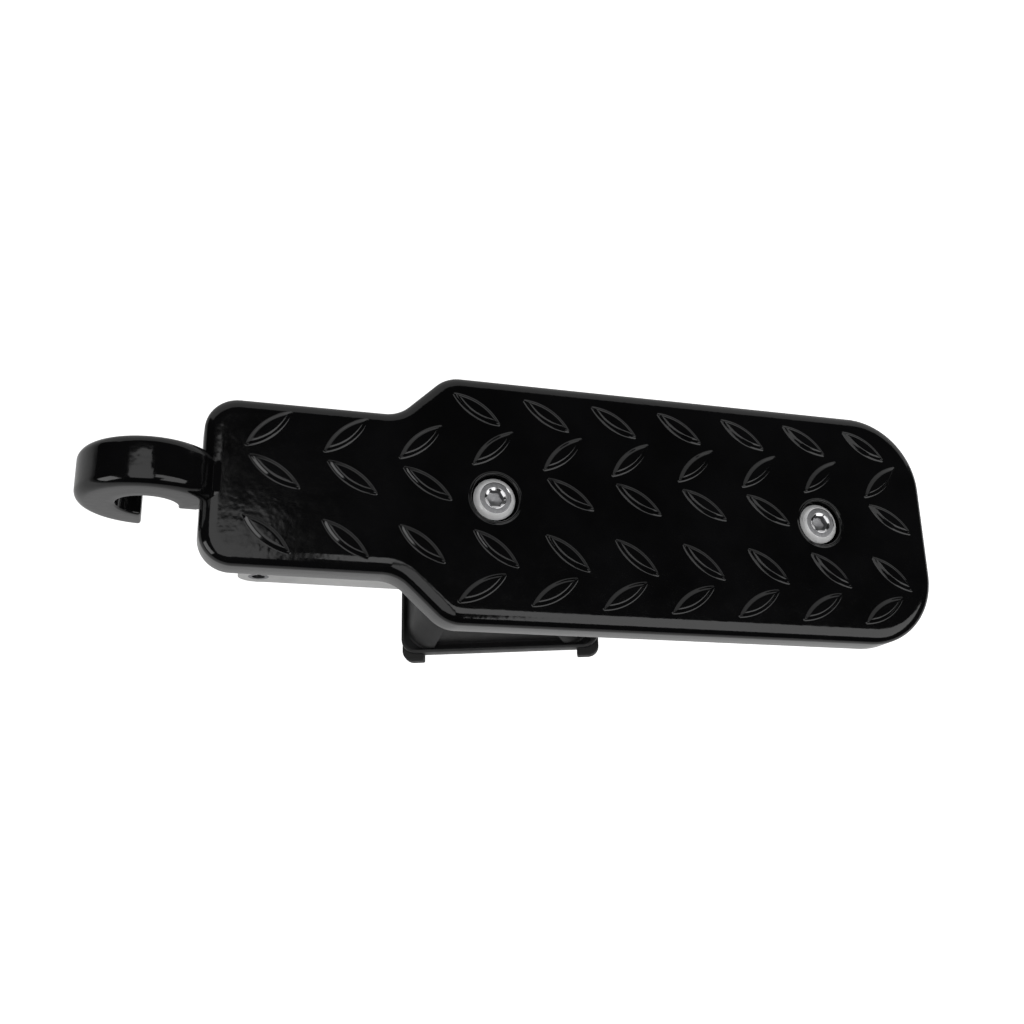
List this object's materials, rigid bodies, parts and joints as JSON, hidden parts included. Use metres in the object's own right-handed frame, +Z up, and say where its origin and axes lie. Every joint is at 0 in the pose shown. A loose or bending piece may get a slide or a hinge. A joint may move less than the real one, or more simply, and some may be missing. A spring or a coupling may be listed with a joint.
{
  "type": "hook-on vehicle step",
  "caption": "Hook-on vehicle step: a cast tread plate with a hook for a door latch striker and a folding leg under it that ends in a padded foot.",
  "frame": {"origin": "centre of the hook's bore, at the middle of the hook's width", "axes": "+X outward along the tread away from the vehicle, +Y along the bore, +Z up out of the tread"},
  "size_m": [0.2228, 0.0644, 0.0644],
  "materials": {
    "gloss_black": "gloss powder coat over a casting, slight orange peel",
    "screw_steel": "bright turned bevel, matte flat",
    "zinc_steel": "bright zinc plate",
    "channel_metal": "light grey zinc-plated sheet",
    "spring_steel": "dark spring steel",
    "natural_nylon": "smooth moulded nylon",
    "blue_nylon": "smooth moulded nylon",
    "foot_plastic": "satin moulded plastic",
    "pad_rubber": "matte black rubber",
    "brass": "turned brass"
  },
  "bodies": {
    "step": {"tread_plate": "gloss_black", "tread_screw_inner": "screw_steel", "tread_screw_outer": "screw_steel", "washer_inner": "zinc_steel", "washer_outer": "zinc_steel", "lock_nut_inner": "zinc_steel", "lock_nut_outer": "zinc_steel", "nut_ring_inner": "blue_nylon", "nut_ring_outer": "blue_nylon", "spine_channel": "channel_metal", "pivot_pin": "spring_steel", "shim_washer": "zinc_steel", "disc_spring": "spring_steel"},
    "leg": {"leg_channel": "channel_metal", "bush_left": "natural_nylon", "bush_right": "natural_nylon", "foot_block": "foot_plastic", "insert_left": "brass", "insert_right": "brass", "foot_screw_left": "screw_steel", "foot_screw_right": "screw_steel", "foot_washer_left": "zinc_steel", "foot_washer_right": "zinc_steel", "pad_inner": "pad_rubber", "pad_outer": "pad_rubber"}
  },
  "joints": [
    {"name": "leg_fold", "type": "hinge", "parent": "step", "child": "leg", "pos_m": [0.0272, 0, -0.012], "axis": [0, 1, 0], "range_deg": [0, 110]}
  ]
}
